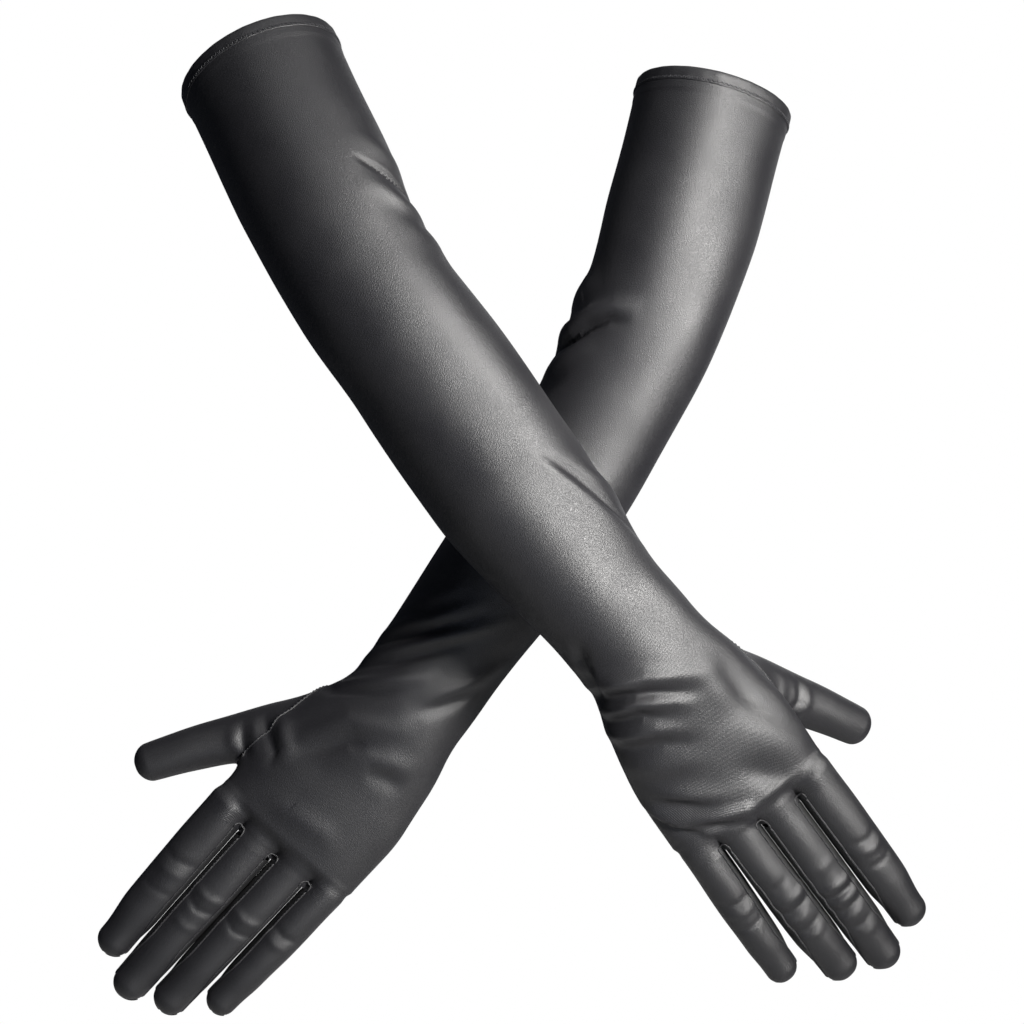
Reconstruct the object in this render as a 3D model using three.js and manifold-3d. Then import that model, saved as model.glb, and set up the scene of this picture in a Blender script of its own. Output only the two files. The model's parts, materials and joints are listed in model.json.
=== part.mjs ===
// A pair of stretch opera gloves, worn on two crossed arms with the hands hanging down.
//
// Frame: millimetres, +Z up, +X towards the right glove's hand, +Y towards the palms.
// The origin lies midway between the two hems, where the arms that wear the gloves leave them.
//
// Each glove is a knitted sleeve that runs into a hand with four finger stalls, a set-in thumb,
// fourchettes (the strips that form the sides of the fingers), a turned hem and sewn seams.
// The cloth is cut into nodes where it bends, so that every rigid stretch turns about its joint.

import * as THREE from 'three';
import { mergeVertices } from 'three/addons/utils/BufferGeometryUtils.js';
import Module from 'manifold-3d';

const wasm = await Module();
wasm.setup();

// ---- driving dimensions, in millimetres and degrees ----

const WALL = 1.0; // cloth thickness
const GAP = 0.3; // clearance between neighbouring pieces
const HEM_DEPTH = 7; // width of the turned hem
const THREAD = 0.8; // thickness of a seam's thread
const SEAM_CLEAR = 0.1; // extra room under the side seam's thread, where the cloth is flat-sided
const SEAM_END = 2; // how far the side seam's thread stops short of the cloth's edge
const ELBOW_REACH = 40; // how far the elbow's bend reaches to each side of its pivot
const WRIST_REACH = 16;
const FINGER_REACH = 9;
const PALM_END = 94; // distance from the wrist to the end of the palm
const THUMB_CLEARANCE = 1.5; // room between the moving thumb and the hand

const UPPER_HALF_WIDTH = 40; // half the sleeve's width above the elbow
const ELBOW_HALF_WIDTH = 37;
const WRIST_HALF_WIDTH = 31.5;
const PALM_HALF_WIDTH = 42.5;
const ARM_ROUNDNESS = 0.93; // depth of the arm over its width
const WRIST_HALF_DEPTH = 24;
const KNUCKLE_HALF_DEPTH = 12;

// The sleeve's shape. The upper arm keeps its width over a share of the way to the elbow. The
// forearm is fullest between two shares of the way to the wrist, and slim from a third one on,
// where it is a little deeper than the wrist itself.
const UPPER_EVEN_TO = 0.6;
const FOREARM_FULL_FROM = 0.27;
const FOREARM_FULL_TO = 0.55;
const FOREARM_SLIM = { from: 0.86, depth: 1.08 };

// The palm by distance from the wrist: its width as a share of the palm's, and its depth as a
// share of the wrist's at the heel and of the knuckles' in its middle.
const HEEL = { distance: 18, width: 0.87, depth: 0.88 };
const PALM_MIDDLE = { distance: 52, depth: 1.45 };

// A finger's root is its pivot: its distance from the wrist and its place across the palm,
// measured from the palm's middle towards the thumb. The size is half of its width.
const FINGERS = [
  { name: 'index', root: 103, across: 32.4, length: 87, base: 10.5, tip: 8.0, strips: [-1] },
  { name: 'middle', root: 105, across: 10.4, length: 96, base: 10.5, tip: 8.2, strips: [1, -1] },
  { name: 'ring', root: 103, across: -11.4, length: 90, base: 10.2, tip: 7.9, strips: [1, -1] },
  { name: 'little', root: 103, across: -31.4, length: 73, base: 9.0, tip: 7.2, strips: [1] },
];
const FINGER_ROUNDNESS = 0.86;
const BELOW_ROOT = { share: 0.2, size: 0.94 }; // where a finger has narrowed, and to what
const INSIDE_PALM = 9; // how far a finger's line starts inside the palm
const FINGER_START = 3; // where its cloth starts on that line
const FINGER_HOLE = 4; // how far the hole in the palm's end reaches past the palm

const STRIP_WIDTH = 7; // the fourchette's width on a finger's side
const STRIP_SHARE = 0.68; // how far along the stall the fourchette runs
const STRIP_DEEP = 0.35; // how near the finger's line its cut comes, as a share of the half width
const STRIP_AHEAD = 2; // how far that cut starts ahead of the stall's open end

const THUMB = { base: 15, middle: 11.6, tip: 9.2, start: 4, pivot: 58, roundness: 0.88 };

// How many flat sides go round each kind of tube.
const ARM_SIDES = 20;
const FINGER_SIDES = 10;
const THUMB_SIDES = 12;

// How many rows of flats each stretch of cloth has along it.
const ROWS = {
  hem: 1,
  upper: 3,
  elbow: 4,
  forearm: 6,
  wrist: 3,
  palm: 5,
  fingerRoot: 2,
  stall: 4,
  tip: 3,
  thumbBase: 3,
  thumb: 5,
  seam: 8,
};
const CURVE_STEPS = 2000; // how finely a place on the sleeve's line is looked for

// The two gloves are the same product. They differ in how the arms inside them lie.
// side is 1 for the right glove and -1 for the left one. Angles of the hand are from straight
// down, and pitch leans it towards the palms. The splay of a finger is towards the thumb. The
// thumb's points are [distance from the wrist, distance beyond the palm's edge, depth].
const GLOVES = [
  {
    name: 'right',
    side: 1,
    spine: [
      [-111, -2, 7.5],
      [-87, -22, -42],
      [-60, -37, -97],
      [-27, -38.5, -141.6],
      [13.6, -38.5, -200.2],
      [50, -38.5, -246],
      [77, -38.5, -278],
    ],
    forearm: 39,
    hand: { angle: 34.5, pitch: 10 },
    splay: [2.2, 1.9, 2.8, -0.4],
    curl: [4, 4, 4, 4],
    thumb: [[20, -25.5, 9], [56, 0.5, 26], [108, 27.5, 46]],
  },
  {
    name: 'left',
    side: -1,
    spine: [
      [117, 60, 3],
      [103, 49, -49],
      [84, 38.5, -108],
      [63.4, 38.5, -152],
      [31, 38.5, -207],
      [-8, 36, -263],
      [-42.4, 32, -310],
    ],
    forearm: 35.5,
    hand: { angle: 42, pitch: -2 },
    splay: [-1.1, 0, 1.2, 1.8],
    curl: [2, 2, 2, 2],
    thumb: [[24, -22.5, 7], [62, 10.5, 12], [113, 39.5, 14]],
  },
];

// ---- colours ----

function cloth(colour) {
  return new THREE.MeshStandardMaterial({ color: colour, roughness: 0.5, metalness: 0 });
}

const BLACK_KNIT = () => cloth('#1b1b1d');
const DARK_STRIP = () => cloth('#141416');
const BLACK_THREAD = () => cloth('#26262a');

// ---- limbs: a line through the cloth, with the cloth's half width and half depth along it ----

const PALMWARD = new THREE.Vector3(0, 1, 0);

function vector(list) {
  return new THREE.Vector3(...list);
}

// The value at a distance in a table of [distance, value, value] rows.
function between(rows, distance) {
  const last = rows.length - 1;
  let k = 0;
  while (k < last - 1 && distance > rows[k + 1][0]) k += 1;
  const share = (distance - rows[k][0]) / (rows[k + 1][0] - rows[k][0]);
  const t = Math.min(1, Math.max(0, share));
  return [1, 2].map((c) => rows[k][c] * (1 - t) + rows[k + 1][c] * t);
}

function makeLimb(curve, rows, side) {
  const length = curve.getLength();
  return {
    length,
    rows,
    at(distance) {
      const share = Math.min(1, Math.max(0, distance / length));
      const along = curve.getTangentAt(share);
      const centre = curve.getPointAt(share).addScaledVector(along, distance - share * length);
      const across = new THREE.Vector3().crossVectors(along, PALMWARD).normalize().multiplyScalar(side);
      const deep = PALMWARD.clone().addScaledVector(along, -PALMWARD.dot(along)).normalize();
      const [halfWidth, halfDepth] = between(rows, distance);
      return { centre, along, across, deep, halfWidth, halfDepth };
    },
  };
}

// ---- cloth tubes ----

// Distances from one end to the other, both included, in even steps.
function steps(from, to, count) {
  return Array.from({ length: count + 1 }, (_, k) => from + ((to - from) * k) / count);
}

// A closed ring of rows, turned round the limb's line. A row is a distance, a share of the
// limb's size, and how far the row lies inside the cloth's outer face.
function wrap(limb, rows, segments) {
  const profile = rows.map((row) => new THREE.Vector2(row.share > 0 ? 1 + row.share : 0, row.distance));
  const geometry = new THREE.LatheGeometry(profile, segments);
  const place = geometry.attributes.position;
  for (let k = 0; k < place.count; k += 1) {
    const row = rows[k % rows.length];
    const angle = (Math.floor(k / rows.length) / segments) * 2 * Math.PI;
    const spot = limb.at(row.distance);
    const width = row.share * (spot.halfWidth - row.inset);
    const depth = row.share * (spot.halfDepth - row.inset);
    const point = spot.centre
      .addScaledVector(spot.across, width * Math.cos(angle))
      .addScaledVector(spot.deep, depth * Math.sin(angle));
    place.setXYZ(k, point.x, point.y, point.z);
  }
  return toSolid(geometry);
}

// A sleeve open at both ends.
function openTube(limb, from, to, { inset = 0, wall = WALL, count = 1, segments = ARM_SIDES } = {}) {
  const outer = steps(from, to, count).map((distance) => ({ distance, share: 1, inset }));
  const inner = steps(to, from, count).map((distance) => ({ distance, share: 1, inset: inset + wall }));
  return wrap(limb, [...outer, ...inner, outer[0]], segments);
}

// The round end of a stall: the rows of a quarter ellipse that closes on the limb's line.
function tipRows(end, size, inset, rows) {
  return steps(0, 90, rows).map((degrees) => {
    const angle = THREE.MathUtils.degToRad(degrees);
    const share = degrees === 90 ? 0 : Math.cos(angle);
    return { distance: end - size + (size - inset) * Math.sin(angle), share, inset };
  });
}

// A stall: open at its root and closed at its tip.
function stall(limb, from, segments) {
  const size = limb.rows.at(-1)[1];
  const body = steps(from, limb.length - size, ROWS.stall).slice(0, -1);
  const outer = [
    ...body.map((distance) => ({ distance, share: 1, inset: 0 })),
    ...tipRows(limb.length, size, 0, ROWS.tip),
  ];
  const inner = [
    ...tipRows(limb.length, size, WALL, ROWS.tip).reverse(),
    ...body.toReversed().map((distance) => ({ distance, share: 1, inset: WALL })),
  ];
  return wrap(limb, [...outer, ...inner, outer[0]], segments);
}

// A solid bar inside or round the limb: inset is below 0 for one that is bigger than the limb.
function bar(limb, from, to, inset, { count = 1, segments = ARM_SIDES } = {}) {
  const rows = [
    { distance: from, share: 0, inset },
    ...steps(from, to, count).map((distance) => ({ distance, share: 1, inset })),
    { distance: to, share: 0, inset },
  ];
  return wrap(limb, rows, segments);
}

// ---- solids ----

// A closed mesh whose faces point outwards.
function toSolid(geometry) {
  const bare = geometry.clone();
  bare.deleteAttribute('normal');
  bare.deleteAttribute('uv');
  const merged = mergeVertices(bare);
  const points = new Float32Array(merged.attributes.position.array);
  const corners = Uint32Array.from(merged.index.array);
  const faces = [];
  for (let k = 0; k < corners.length; k += 3) {
    const [a, b, c] = corners.slice(k, k + 3);
    if (a !== b && b !== c && c !== a) faces.push([a, b, c]);
  }
  const outwards = signedVolume(points, faces) > 0;
  const triangles = Uint32Array.from(faces.flatMap(([a, b, c]) => (outwards ? [a, b, c] : [a, c, b])));
  return new wasm.Manifold(new wasm.Mesh({ numProp: 3, vertProperties: points, triVerts: triangles }));
}

function signedVolume(points, faces) {
  const corner = (k) => new THREE.Vector3(points[3 * k], points[3 * k + 1], points[3 * k + 2]);
  return faces.reduce((sum, [a, b, c]) => sum + corner(a).dot(corner(b).cross(corner(c))), 0);
}

function toGeometry(solid) {
  const mesh = solid.getMesh();
  const geometry = new THREE.BufferGeometry();
  geometry.setAttribute('position', new THREE.BufferAttribute(mesh.vertProperties, mesh.numProp));
  geometry.setIndex(new THREE.BufferAttribute(mesh.triVerts, 1));
  geometry.computeVertexNormals();
  return geometry;
}

// ---- one glove ----

// The sleeve's size by distance from the hem: half width and half depth.
function sleeveRows(glove, marks) {
  const arm = (distance, halfWidth) => [distance, halfWidth, halfWidth * ARM_ROUNDNESS];
  const { elbow, wrist } = marks;
  const fore = wrist - elbow;
  return [
    arm(0, UPPER_HALF_WIDTH),
    arm(elbow * UPPER_EVEN_TO, UPPER_HALF_WIDTH),
    arm(elbow, ELBOW_HALF_WIDTH),
    arm(elbow + fore * FOREARM_FULL_FROM, glove.forearm),
    arm(elbow + fore * FOREARM_FULL_TO, glove.forearm),
    [elbow + fore * FOREARM_SLIM.from, WRIST_HALF_WIDTH, WRIST_HALF_DEPTH * FOREARM_SLIM.depth],
    [wrist, WRIST_HALF_WIDTH, WRIST_HALF_DEPTH],
    [wrist + HEEL.distance, PALM_HALF_WIDTH * HEEL.width, WRIST_HALF_DEPTH * HEEL.depth],
    [wrist + PALM_MIDDLE.distance, PALM_HALF_WIDTH, KNUCKLE_HALF_DEPTH * PALM_MIDDLE.depth],
    [wrist + PALM_END, PALM_HALF_WIDTH, KNUCKLE_HALF_DEPTH],
  ];
}

// The hand's own directions: along it, across it towards the thumb, and towards the palm.
function handFrame(glove) {
  const angle = THREE.MathUtils.degToRad(glove.hand.angle);
  const pitch = THREE.MathUtils.degToRad(glove.hand.pitch);
  const along = new THREE.Vector3(
    glove.side * Math.sin(angle) * Math.cos(pitch),
    Math.sin(pitch),
    -Math.cos(angle) * Math.cos(pitch),
  );
  const across = new THREE.Vector3().crossVectors(along, PALMWARD).normalize().multiplyScalar(glove.side);
  const deep = PALMWARD.clone().addScaledVector(along, -PALMWARD.dot(along)).normalize();
  const wrist = vector(glove.spine.at(-1));
  const point = (u, v, w) => wrist
    .clone()
    .addScaledVector(along, u)
    .addScaledVector(across, v)
    .addScaledVector(deep, w);
  return { along, across, deep, point };
}

// The line of the sleeve and palm, and the distances of the elbow and wrist along it.
function sleeveLimb(glove, frame) {
  const sleeve = glove.spine.map(vector);
  const palm = [PALM_END / 2, PALM_END].map((distance) => frame.point(distance, 0, 0));
  const curve = new THREE.CatmullRomCurve3([...sleeve, ...palm]);
  const nearest = (target) => {
    const gaps = steps(0, 1, CURVE_STEPS).map((share) => curve.getPointAt(share).distanceTo(target));
    return (gaps.indexOf(Math.min(...gaps)) / CURVE_STEPS) * curve.getLength();
  };
  const marks = { elbow: nearest(sleeve[2]), wrist: nearest(sleeve.at(-1)) };
  return { limb: makeLimb(curve, sleeveRows(glove, marks), glove.side), marks };
}

function fingerLimb(glove, frame, k) {
  const finger = FINGERS[k];
  const splay = THREE.MathUtils.degToRad(glove.splay[k]);
  const curl = THREE.MathUtils.degToRad(glove.curl[k]);
  const along = frame.along
    .clone()
    .multiplyScalar(Math.cos(splay) * Math.cos(curl))
    .addScaledVector(frame.across, Math.sin(splay) * Math.cos(curl))
    .addScaledVector(frame.deep, Math.sin(curl));
  const back = finger.root - PALM_END + INSIDE_PALM;
  const pivot = frame.point(finger.root, finger.across, 0);
  const start = pivot.clone().addScaledVector(along, -back);
  const end = pivot.clone().addScaledVector(along, finger.length);
  const row = (distance, halfWidth) => [distance, halfWidth, halfWidth * FINGER_ROUNDNESS];
  const rows = [
    row(0, finger.base),
    row(back + finger.length * BELOW_ROOT.share, finger.base * BELOW_ROOT.size),
    row(back + finger.length, finger.tip),
  ];
  return { limb: makeLimb(new THREE.LineCurve3(start, end), rows, glove.side), pivot: back };
}

function thumbLimb(glove, frame) {
  const place = ([distance, beyond, deep]) => frame.point(distance, PALM_HALF_WIDTH + beyond, deep);
  const curve = new THREE.QuadraticBezierCurve3(...glove.thumb.map(place));
  const length = curve.getLength();
  const row = (distance, halfWidth) => [distance, halfWidth, halfWidth * THUMB.roundness];
  const rows = [row(0, THUMB.base), row(length / 2, THUMB.middle), row(length, THUMB.tip)];
  return makeLimb(curve, rows, glove.side);
}

// A block along one side of a finger, which cuts the fourchette out of its wall.
function sideBlock(finger, limb, from, length, toward, grow) {
  const size = STRIP_AHEAD + length + grow;
  const spot = limb.at(from - STRIP_AHEAD + size / 2);
  const box = new THREE.BoxGeometry(size, 2 * finger.base, STRIP_WIDTH + 2 * grow);
  const turn = new THREE.Matrix4().makeBasis(spot.along, spot.across, spot.deep);
  const centre = spot.centre.addScaledVector(spot.across, toward * (finger.base * (1 + STRIP_DEEP) - grow));
  box.applyMatrix4(turn.setPosition(centre));
  return toSolid(box);
}

// A finger: the bend at its root, its stall, and the fourchettes on the sides that meet a
// neighbour.
function makeFinger(glove, frame, k, palmWithGap) {
  const finger = FINGERS[k];
  const { limb, pivot } = fingerLimb(glove, frame, k);
  const split = pivot + FINGER_REACH;
  const rootRows = { count: ROWS.fingerRoot, segments: FINGER_SIDES };
  const pieces = {
    root: largest(openTube(limb, FINGER_START, split - GAP, rootRows).subtract(palmWithGap)),
    cavity: bar(limb, 0, INSIDE_PALM + FINGER_HOLE, WALL, { segments: FINGER_SIDES }),
  };
  const whole = stall(limb, split, FINGER_SIDES);
  const length = (limb.length - split) * STRIP_SHARE;
  const sides = finger.strips.map((toward) => {
    const strip = whole.intersect(sideBlock(finger, limb, split, length, toward, 0));
    const cut = sideBlock(finger, limb, split, length, toward, GAP);
    return { toward, strip, cut };
  });
  pieces.stall = sides.reduce((solid, side) => solid.subtract(side.cut), whole);
  pieces.strips = sides;
  return pieces;
}

// A thread that lies on the sleeve's little-finger side.
function sideSeam(limb, from, to) {
  const points = steps(from, to, ROWS.seam).map((distance) => {
    const spot = limb.at(distance);
    return spot.centre.addScaledVector(spot.across, -(spot.halfWidth + GAP + THREAD / 2 + SEAM_CLEAR));
  });
  const section = new THREE.Shape().absarc(0, 0, THREAD / 2, 0, 2 * Math.PI);
  const path = new THREE.CatmullRomCurve3(points);
  const options = { steps: ROWS.seam, bevelEnabled: false, extrudePath: path, curveSegments: 3 };
  return toSolid(new THREE.ExtrudeGeometry(section, options));
}

function makeGlove(glove) {
  const frame = handFrame(glove);
  const { limb, marks } = sleeveLimb(glove, frame);
  const { elbow, wrist } = marks;
  const parts = {};
  const add = (name, solid, material) => {
    const mesh = new THREE.Mesh(toGeometry(solid), material());
    mesh.name = `${glove.name}_${name}`;
    parts[name] = mesh;
  };

  const elbowFrom = elbow - ELBOW_REACH;
  const elbowTo = elbow + ELBOW_REACH;
  const wristFrom = wrist - WRIST_REACH;
  const wristTo = wrist + WRIST_REACH;
  const palmEnd = wrist + PALM_END;
  const hemThread = { inset: -(GAP + THREAD), wall: THREAD };

  add('hem_band', openTube(limb, 0, HEM_DEPTH - GAP / 2, { wall: 2 * WALL, count: ROWS.hem }), BLACK_KNIT);
  const threadFrom = HEM_DEPTH - THREAD / 2;
  add('hem_thread', openTube(limb, threadFrom, threadFrom + THREAD, hemThread), BLACK_THREAD);
  add('upper_sleeve', openTube(limb, HEM_DEPTH + GAP / 2, elbowFrom, { count: ROWS.upper }), BLACK_KNIT);
  add('elbow_bend', openTube(limb, elbowFrom + GAP, elbowTo - GAP, { count: ROWS.elbow }), BLACK_KNIT);
  add('forearm_sleeve', openTube(limb, elbowTo, wristFrom, { count: ROWS.forearm }), BLACK_KNIT);
  add('wrist_bend', openTube(limb, wristFrom + GAP, wristTo - GAP, { count: ROWS.wrist }), BLACK_KNIT);
  add('side_seam_upper', sideSeam(limb, HEM_DEPTH + SEAM_END, elbowFrom - SEAM_END), BLACK_THREAD);
  add('side_seam_forearm', sideSeam(limb, elbowTo + SEAM_END, wristFrom - SEAM_END), BLACK_THREAD);

  const palmRows = { count: ROWS.palm };
  const palmOuter = (grow) => bar(limb, wristTo - grow, palmEnd + grow, -grow, palmRows);
  const fingers = FINGERS.map((_, k) => makeFinger(glove, frame, k, palmOuter(GAP)));
  const thumb = thumbLimb(glove, frame);
  const palmInner = bar(limb, wristTo - WALL, palmEnd - WALL, WALL, palmRows);
  const thumbRows = { count: ROWS.thumb, segments: THUMB_SIDES };
  const thumbOuter = (grow) => bar(thumb, THUMB.start, thumb.length - THUMB.tip, -grow, thumbRows);
  const thumbHole = thumbOuter(-WALL);
  const closedPalm = palmOuter(0).subtract(palmInner);
  const palm = fingers.reduce((solid, finger) => solid.subtract(finger.cavity), closedPalm);
  add('hand', palm.subtract(thumbHole), BLACK_KNIT);

  const bendFrom = THUMB.pivot - FINGER_REACH;
  const bendTo = THUMB.pivot + FINGER_REACH;
  const baseRows = { count: ROWS.thumbBase, segments: THUMB_SIDES };
  const thumbBase = openTube(thumb, THUMB.start, bendFrom, baseRows);
  const sleeveSide = bar(limb, wristFrom, wristTo, -GAP, { count: ROWS.wrist });
  add('thumb_base', largest(thumbBase.subtract(palmOuter(GAP)).subtract(sleeveSide)), BLACK_KNIT);
  const thumbBend = openTube(thumb, bendFrom + GAP, bendTo - GAP, { segments: THUMB_SIDES });
  add('thumb_root', largest(thumbBend.subtract(palmOuter(GAP))), BLACK_KNIT);
  const thumbStall = stall(thumb, bendTo, THUMB_SIDES);
  add('thumb', largest(thumbStall.subtract(palmOuter(THUMB_CLEARANCE))), BLACK_KNIT);
  const threadRound = { inset: -(GAP + THREAD), wall: THREAD, count: ROWS.thumb, segments: THUMB_SIDES };
  const roundThumb = openTube(thumb, THUMB.start, thumb.length - THUMB.tip, threadRound);
  const roundPalm = palmOuter(GAP + THREAD).subtract(palmOuter(GAP));
  add('thumb_seam', largest(roundThumb.intersect(roundPalm).subtract(sleeveSide)), BLACK_THREAD);

  fingers.forEach((pieces, k) => {
    const { name } = FINGERS[k];
    add(`${name}_root`, pieces.root, BLACK_KNIT);
    add(`${name}_finger`, pieces.stall, BLACK_KNIT);
    pieces.strips.forEach(({ toward, strip }) => {
      const facing = toward > 0 ? 'thumbward' : 'outward';
      add(`${name}_fourchette_${facing}`, strip, DARK_STRIP);
    });
  });
  return Object.values(parts);
}

function largest(solid) {
  return solid.decompose().sort((a, b) => b.volume() - a.volume())[0];
}

const group = new THREE.Group();
GLOVES.forEach((glove) => group.add(...makeGlove(glove)));

export default group;
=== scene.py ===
"""A pair of black stretch-knit opera gloves, worn on two crossed arms with the hands hanging down.

Lengths are in millimetres until a mesh is made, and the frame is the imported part's own:
+Z up, +X towards the right glove's hand, +Y towards the palms.
"""

import json
import math

import bmesh
import bpy
import numpy as np
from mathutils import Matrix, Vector


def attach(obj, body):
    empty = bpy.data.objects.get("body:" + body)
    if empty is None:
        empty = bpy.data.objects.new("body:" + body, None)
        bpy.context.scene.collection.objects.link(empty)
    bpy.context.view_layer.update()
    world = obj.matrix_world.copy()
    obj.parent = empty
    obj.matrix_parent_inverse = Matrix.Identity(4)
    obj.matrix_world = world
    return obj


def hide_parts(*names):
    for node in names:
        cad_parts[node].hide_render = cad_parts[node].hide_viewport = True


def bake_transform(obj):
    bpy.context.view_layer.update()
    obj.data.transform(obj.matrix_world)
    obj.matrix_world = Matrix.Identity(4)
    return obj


MM = 0.001

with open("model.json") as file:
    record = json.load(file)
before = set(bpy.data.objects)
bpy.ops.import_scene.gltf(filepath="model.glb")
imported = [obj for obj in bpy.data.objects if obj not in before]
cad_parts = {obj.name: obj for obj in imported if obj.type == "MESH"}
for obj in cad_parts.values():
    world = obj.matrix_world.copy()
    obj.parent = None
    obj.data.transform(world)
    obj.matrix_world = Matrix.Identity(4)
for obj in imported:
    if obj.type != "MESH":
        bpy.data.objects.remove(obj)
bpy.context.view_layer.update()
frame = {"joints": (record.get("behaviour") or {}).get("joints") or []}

# ---- camera ----


def place_camera():
    camera_data = bpy.data.cameras.new("camera")
    camera_data.sensor_width = 36
    camera_data.lens = 78.9
    camera = bpy.data.objects.new("camera", camera_data)
    camera.location = (0.0127, -1.1, -0.2097)
    camera.rotation_euler = (math.radians(90), 0, 0)
    bpy.context.scene.collection.objects.link(camera)
    bpy.context.scene.camera = camera


place_camera()

# ---- the gloves' sizes ----

STEP = 0.5
UPPER_END = 295  # where the sleeve's cloth meets the hand's, from the hem
HEM_DEPTH = 7
SLEEVE_WALL = 0.8
PALM_CAP = 9
START_CAP = 8  # how a finger's line is rounded off inside the palm
WEB = 5  # how softly a finger runs into the palm
THUMB_WEB = 11
FINGER_GAP = 0.1  # between two fingers that touch
FOLD_STRENGTH = 1.3
PRESS = 0.8  # how softly a finger's side turns flat there
FINGER_CUT = -4  # where the finger's cloth starts, from its pivot
STRIP_HALF = 42  # half of the fourchette, in degrees round the finger
SEAM_ANGLE = -104  # the side seam, in degrees round the sleeve, just past its outer edge

# name, distance of the pivot from the wrist, place across the palm, length, base and tip half
# widths, and the sides with a fourchette: 1 is towards the thumb.
FINGERS = (
    ("index", 103, 32.4, 87, 11.6, 8.7, (-1,)),
    ("middle", 105, 10.4, 96, 11.7, 8.9, (1, -1)),
    ("ring", 103, -11.4, 90, 11.6, 8.6, (1, -1)),
    ("little", 103, -31.4, 73, 9.9, 7.8, (1,)),
)
FINGER_ROUNDNESS = 0.86
THUMB_ROUNDNESS = 0.88
INSIDE_PALM = 18
PALM_END = 94

TURNED_UNDER = 0.3  # how much the hem's turned edge lifts the sleeve's cloth
TURNED_TO = 12.3  # and how far down the sleeve it reaches
FINGER_HALF = 9.0  # a finger's usual half width, for folds that go round it
NEAR_FINGER = 34  # how near a finger's line its cloth counts, beside and behind
BEHIND_FINGER = -20
SKIN_GRAIN = 1.15  # the size of the hand's mesh
CLOTH_WALL = 0.6  # the hand's and fingers' cloth
THUMB_FROM = 12  # where the thumb's own cloth can start, along its line
FRONT_COLUMNS = 20  # columns over a finger's back, and again over its front
SIDE_COLUMNS = 12  # columns over each of its sides
STRIP_END = 0.95  # where the fourchette ends, as a share of the finger

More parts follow.
